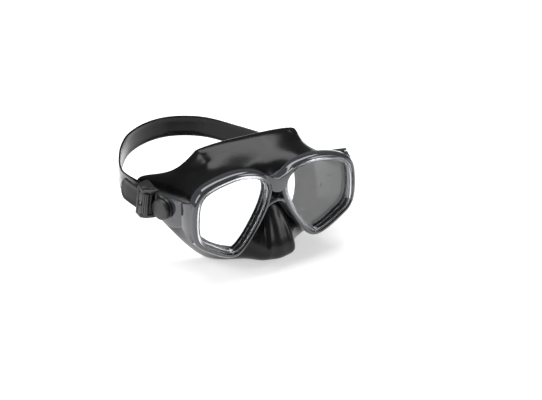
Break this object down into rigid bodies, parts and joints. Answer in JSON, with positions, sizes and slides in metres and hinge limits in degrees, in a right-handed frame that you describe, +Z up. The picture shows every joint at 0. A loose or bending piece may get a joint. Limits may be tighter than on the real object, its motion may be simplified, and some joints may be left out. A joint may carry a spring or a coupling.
{
  "type": "diving mask",
  "caption": "Twin-lens diving mask with a moulded silicone skirt and nose pocket, framed glass lenses, and a head strap on swivelling side buckles with release levers.",
  "frame": {"origin": "centre of the footprint, at the lowest point of the skirt", "axes": "+X to the wearer's left, the way the mask is longest; -Y is the way the lenses look; +Z up, the way the mask is shortest"},
  "size_m": [0.2013, 0.1962, 0.0982],
  "materials": {
    "smoke_polycarbonate": "glossy translucent smoke",
    "bezel_polycarbonate": "glossy translucent light grey",
    "tempered_glass": "clear, polished",
    "black_silicone": "glossy skin with a moulded sheen",
    "buckle_nylon": "satin",
    "stainless_steel": "bright drawn"
  },
  "bodies": {
    "mask": {"frame": "smoke_polycarbonate", "lens_left": "tempered_glass", "lens_right": "tempered_glass", "bezel_left": "bezel_polycarbonate", "bezel_right": "bezel_polycarbonate", "skirt": "black_silicone", "buckle_lug_left": "smoke_polycarbonate", "buckle_lug_right": "smoke_polycarbonate", "pivot_stud_left": "stainless_steel", "pivot_stud_right": "stainless_steel"},
    "buckle_left": {"buckle_body_left": "buckle_nylon", "pivot_cap_left": "buckle_nylon", "roller_pin_left": "stainless_steel", "lever_pin_left": "stainless_steel", "strap_end_left": "black_silicone"},
    "roller_left": {"roller_left": "buckle_nylon"},
    "lever_left": {"release_lever_left": "buckle_nylon", "lever_spring_left": "stainless_steel"},
    "buckle_right": {"buckle_body_right": "buckle_nylon", "pivot_cap_right": "buckle_nylon", "roller_pin_right": "stainless_steel", "lever_pin_right": "stainless_steel", "strap_end_right": "black_silicone"},
    "roller_right": {"roller_right": "buckle_nylon"},
    "lever_right": {"release_lever_right": "buckle_nylon", "lever_spring_right": "stainless_steel"},
    "strap": {"strap": "black_silicone"}
  },
  "joints": [
    {"name": "strap_swing", "type": "hinge", "parent": "mask", "child": "strap", "pos_m": [0, -0.05767, 0.05993], "axis": [1, 0, 0], "range_deg": [-12, 15]},
    {"name": "buckle_left_swivel", "type": "hinge", "parent": "mask", "child": "buckle_left", "pos_m": [0.0833, -0.05767, 0.05993], "axis": [0.9659, -0.2588, 0], "range_deg": [-12, 15]},
    {"name": "roller_left_spin", "type": "hinge", "parent": "buckle_left", "child": "roller_left", "pos_m": [0.09041, -0.04738, 0.05444], "axis": [0.1094, 0.4082, 0.9063], "continuous": true},
    {"name": "lever_left_lift", "type": "hinge", "parent": "buckle_left", "child": "lever_left", "pos_m": [0.09704, -0.0454, 0.05275], "axis": [0.1094, 0.4082, 0.9063], "range_deg": [0, 18], "stiffness_Nm_per_rad": 0.001, "springref_deg": -8.59},
    {"name": "buckle_right_swivel", "type": "hinge", "parent": "mask", "child": "buckle_right", "pos_m": [-0.0833, -0.05767, 0.05993], "axis": [0.9659, 0.2588, 0], "range_deg": [-12, 15]},
    {"name": "roller_right_spin", "type": "hinge", "parent": "buckle_right", "child": "roller_right", "pos_m": [-0.09068, -0.04636, 0.06196], "axis": [-0.0405, 0.1511, -0.9877], "continuous": true},
    {"name": "lever_right_lift", "type": "hinge", "parent": "buckle_right", "child": "lever_right", "pos_m": [-0.0974, -0.04407, 0.06259], "axis": [-0.0405, 0.1511, -0.9877], "range_deg": [0, 18], "stiffness_Nm_per_rad": 0.001, "springref_deg": -8.59}
  ],
  "couplings": [
    {"joint": "buckle_left_swivel", "follows": "strap_swing", "ratio": 0.9659},
    {"joint": "buckle_right_swivel", "follows": "strap_swing", "ratio": 0.9659}
  ]
}
